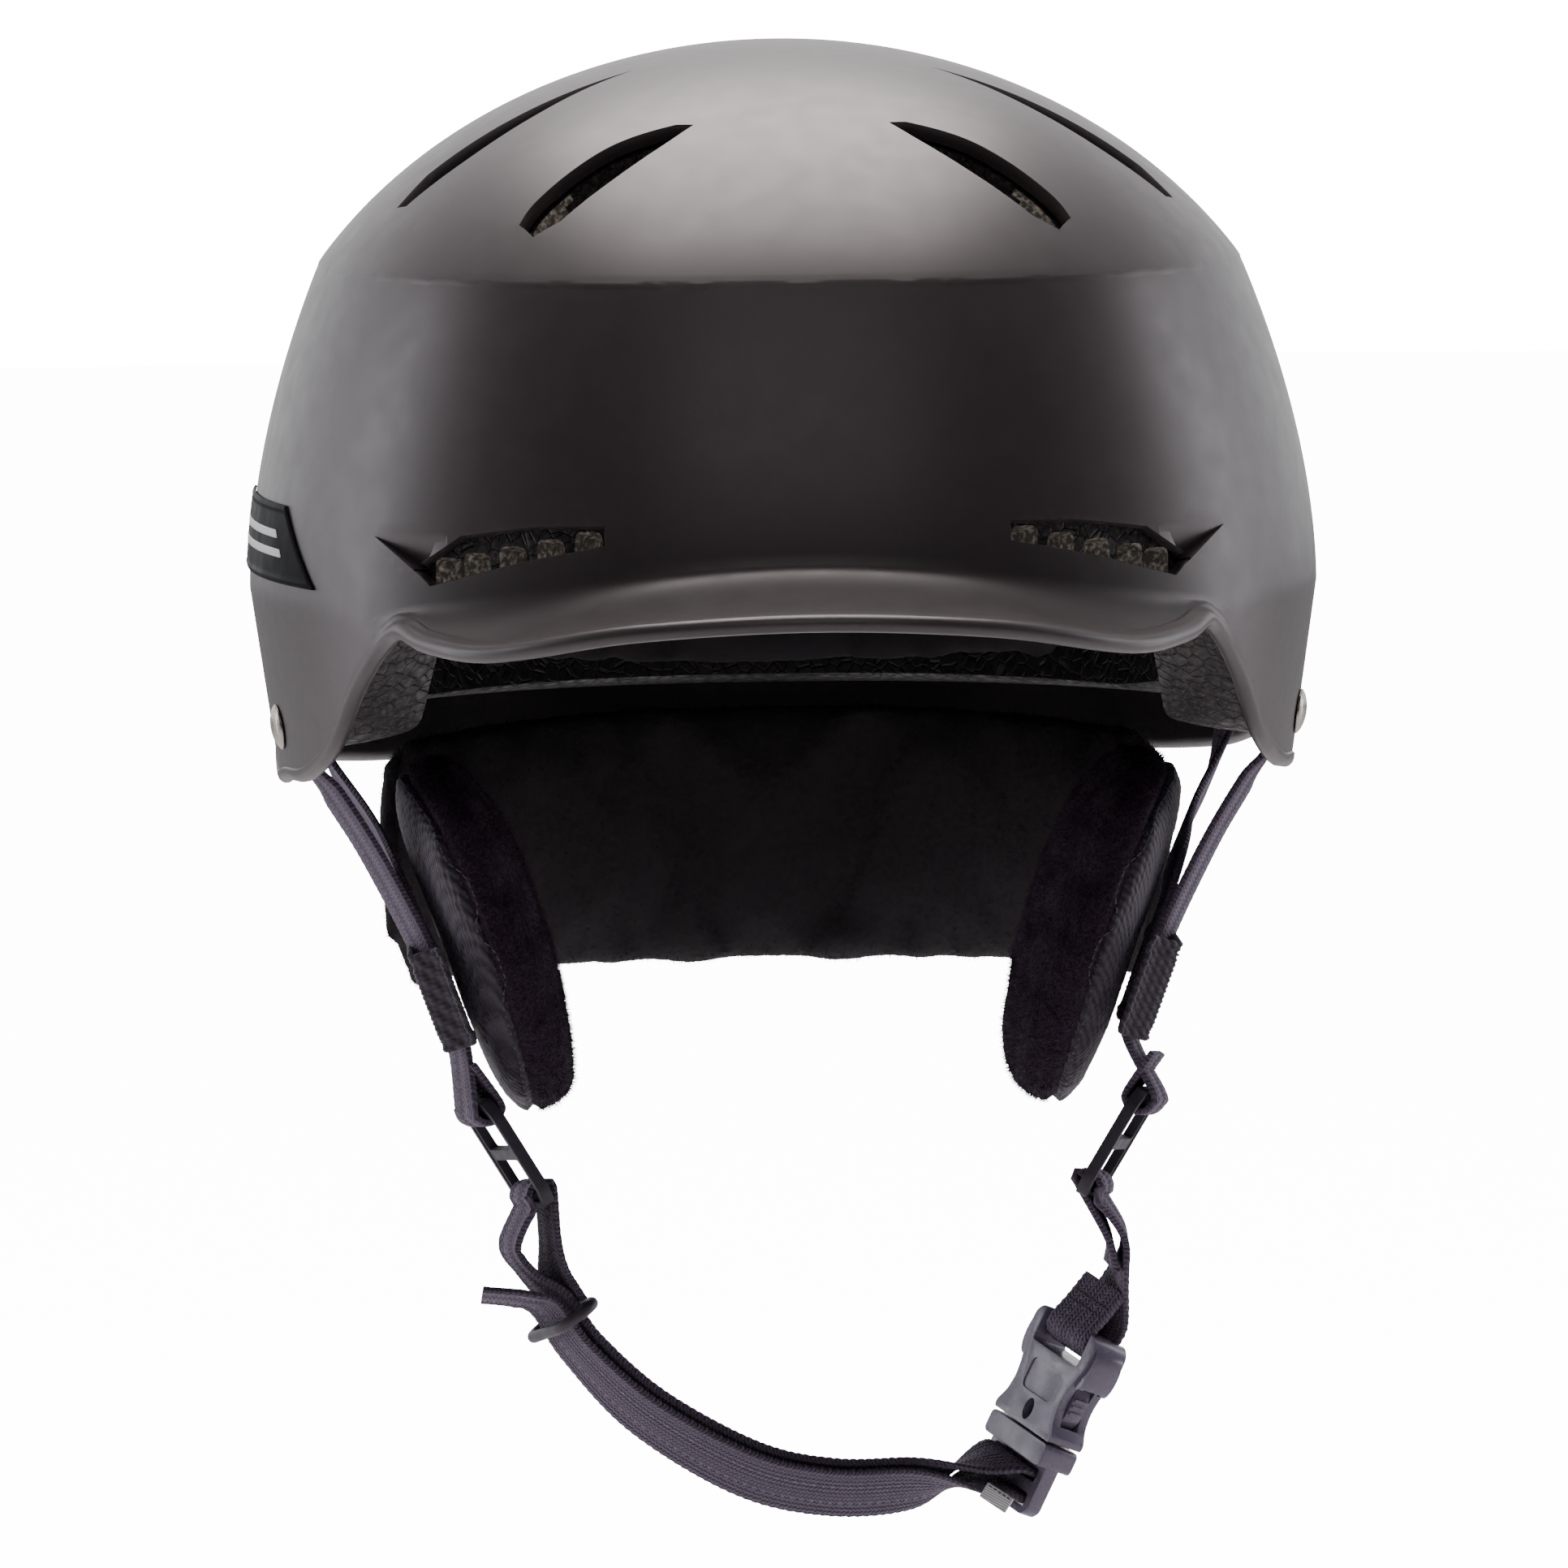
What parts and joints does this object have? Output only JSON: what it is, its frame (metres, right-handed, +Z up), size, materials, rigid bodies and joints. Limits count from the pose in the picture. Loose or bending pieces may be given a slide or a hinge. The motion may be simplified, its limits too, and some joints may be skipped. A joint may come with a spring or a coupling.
{
  "type": "ski helmet",
  "caption": "Adult snow helmet with a brimmed hard shell, vent slots, foam liner, padded ear flaps, neck panel and a buckled chin strap.",
  "frame": {"origin": "the middle of the crown pad's flat lower face, where the helmet rests on a head", "axes": "+Z up to the crown, -Y to the brim, -X the wearer's right side"},
  "size_m": [0.2175, 0.291, 0.296],
  "materials": {
    "shell_satin": "satin moulded shell",
    "liner_foam": "moulded bead foam",
    "badge_gloss": "gloss",
    "fleece": "brushed fleece",
    "flap_knit": "fine knit with fleece lining",
    "webbing": "woven webbing",
    "buckle_plastic": "semi-gloss moulded",
    "keeper_rubber": "matt",
    "reel_plastic": "fine textured",
    "knob_rubber": "matt grip",
    "lace_cord": "braided cord",
    "holder_rubber": "matt",
    "rivet_metal": "dark nickel",
    "washer_steel": "plain"
  },
  "bodies": {
    "root": {"outer_shell": "shell_satin", "foam_liner": "liner_foam", "side_badge": "badge_gloss", "brow_pad": "fleece", "side_pad_right": "fleece", "side_pad_left": "fleece", "rear_pad": "fleece", "crown_pad": "fleece", "neck_panel": "fleece", "strap_sleeve_right": "webbing", "strap_sleeve_left": "webbing", "strap_front_right": "webbing", "strap_front_left": "webbing", "strap_rear_right": "webbing", "strap_rear_left": "webbing", "reel_housing": "reel_plastic", "fit_lace_right": "lace_cord", "fit_lace_left": "lace_cord", "lace_anchor_right": "reel_plastic", "lace_anchor_left": "reel_plastic", "goggle_anchor": "holder_rubber", "goggle_rivet": "rivet_metal", "snap_stud": "rivet_metal", "rivet_front_right": "rivet_metal", "washer_front_right": "washer_steel", "rivet_front_left": "rivet_metal", "washer_front_left": "washer_steel", "rivet_rear_right": "rivet_metal", "washer_rear_right": "washer_steel", "rivet_rear_left": "rivet_metal", "washer_rear_left": "washer_steel"},
    "ear_flap_right": {"ear_pad_right": "flap_knit"},
    "ear_flap_left": {"ear_pad_left": "flap_knit"},
    "chin_loop": {"divider_right": "buckle_plastic", "divider_left": "buckle_plastic", "buckle_strap": "webbing", "buckle_socket": "buckle_plastic", "chin_webbing": "webbing"},
    "plug": {"buckle_plug": "buckle_plastic"},
    "prong_a": {"buckle_prong_a": "buckle_plastic"},
    "prong_b": {"buckle_prong_b": "buckle_plastic"},
    "keeper": {"strap_keeper": "keeper_rubber"},
    "spool": {"reel_spool": "reel_plastic"},
    "knob": {"reel_knob": "knob_rubber"},
    "goggle_flap": {"goggle_tab": "holder_rubber", "snap_cap": "rivet_metal"}
  },
  "joints": [
    {"name": "ear_flap_right", "type": "hinge", "parent": "root", "child": "ear_flap_right", "pos_m": [-0.07176, -0.017, -0.11681], "axis": [0, 1, 0], "range_deg": [-9, 1]},
    {"name": "ear_flap_left", "type": "hinge", "parent": "root", "child": "ear_flap_left", "pos_m": [0.07176, -0.017, -0.11681], "axis": [0, -1, 0], "range_deg": [-9, 1]},
    {"name": "chin_swing", "type": "hinge", "parent": "root", "child": "chin_loop", "pos_m": [0, -0.0365, -0.165], "axis": [1, 0, 0], "range_deg": [-35, 24], "deforming": ["strap_front_right", "strap_front_left"]},
    {"name": "buckle_release", "type": "slide", "parent": "chin_loop", "child": "plug", "axis": [-0.4299, 0, -0.9029], "range_m": [0, 0.016], "deforming": ["chin_webbing"]},
    {"name": "prong_squeeze_a", "type": "hinge", "parent": "plug", "child": "prong_a", "pos_m": [0.05002, -0.04424, -0.24559], "axis": [-0.782, -0.5, 0.372], "range_deg": [0, 6]},
    {"name": "prong_squeeze_b", "type": "hinge", "parent": "plug", "child": "prong_b", "pos_m": [0.04559, -0.03576, -0.24348], "axis": [0.782, 0.5, -0.372], "range_deg": [0, 6]},
    {"name": "keeper_slide", "type": "slide", "parent": "chin_loop", "child": "keeper", "axis": [0.559, -0.0299, -0.8286], "range_m": [0, 0.005]},
    {"name": "reel_turn", "type": "hinge", "parent": "root", "child": "spool", "pos_m": [0, 0.1069, -0.139], "axis": [0, 0.9896, -0.1437], "continuous": true},
    {"name": "knob_pull", "type": "slide", "parent": "spool", "child": "knob", "axis": [0, 0.9896, -0.1437], "range_m": [0, 0.0025]},
    {"name": "goggle_flap", "type": "hinge", "parent": "root", "child": "goggle_flap", "pos_m": [0, 0.13652, -0.0718], "axis": [1, 0, 0], "range_deg": [0, 100]}
  ],
  "couplings": [
    {"joint": "prong_squeeze_b", "follows": "prong_squeeze_a", "ratio": 1}
  ]
}
